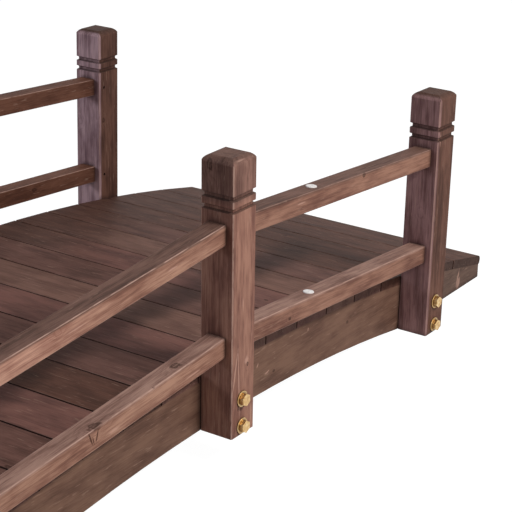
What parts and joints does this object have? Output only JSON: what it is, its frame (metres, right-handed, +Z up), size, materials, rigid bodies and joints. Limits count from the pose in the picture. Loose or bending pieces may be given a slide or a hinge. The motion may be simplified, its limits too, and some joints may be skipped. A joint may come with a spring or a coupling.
{
  "type": "arched garden bridge",
  "caption": "Small arched timber garden bridge with a planked deck on arched stringers, grooved square posts and sloping double rails on both sides.",
  "frame": {"origin": "on the ground under the middle of the deck, at the centre of the bounding box", "axes": "+X along the bridge, +Y across it, from the near railing to the far one, +Z up"},
  "size_m": [1.4791, 0.666, 0.403],
  "materials": {
    "deck_wood": "dark brown stain, matte, grain and knots showing",
    "stringer_wood": "brown stain, matte, sawn edges",
    "post_wood": "reddish brown stain, matte",
    "rail_wood": "reddish brown stain, matte, dark knots",
    "bolt_metal": "yellow zinc plate, satin",
    "screw_cap": "off-white"
  },
  "bodies": {
    "root": {"stringer_near": "stringer_wood", "post_near_start": "post_wood", "post_near_middle": "post_wood", "post_near_end": "post_wood", "rail_near_upper_start": "rail_wood", "rail_near_upper_end": "rail_wood", "rail_near_lower_start": "rail_wood", "rail_near_lower_end": "rail_wood", "stringer_far": "stringer_wood", "post_far_start": "post_wood", "post_far_middle": "post_wood", "post_far_end": "post_wood", "rail_far_upper_start": "rail_wood", "rail_far_upper_end": "rail_wood", "rail_far_lower_start": "rail_wood", "rail_far_lower_end": "rail_wood", "end_board_start": "deck_wood", "deck_board_01": "deck_wood", "deck_board_02": "deck_wood", "deck_board_03": "deck_wood", "deck_board_04": "deck_wood", "deck_board_05": "deck_wood", "deck_board_06": "deck_wood", "deck_board_07": "deck_wood", "deck_board_08": "deck_wood", "deck_board_09": "deck_wood", "deck_board_10": "deck_wood", "deck_board_11": "deck_wood", "deck_board_12": "deck_wood", "deck_board_13": "deck_wood", "deck_board_14": "deck_wood", "deck_board_15": "deck_wood", "deck_board_16": "deck_wood", "deck_board_17": "deck_wood", "end_board_end": "deck_wood"}
  },
  "joints": []
}
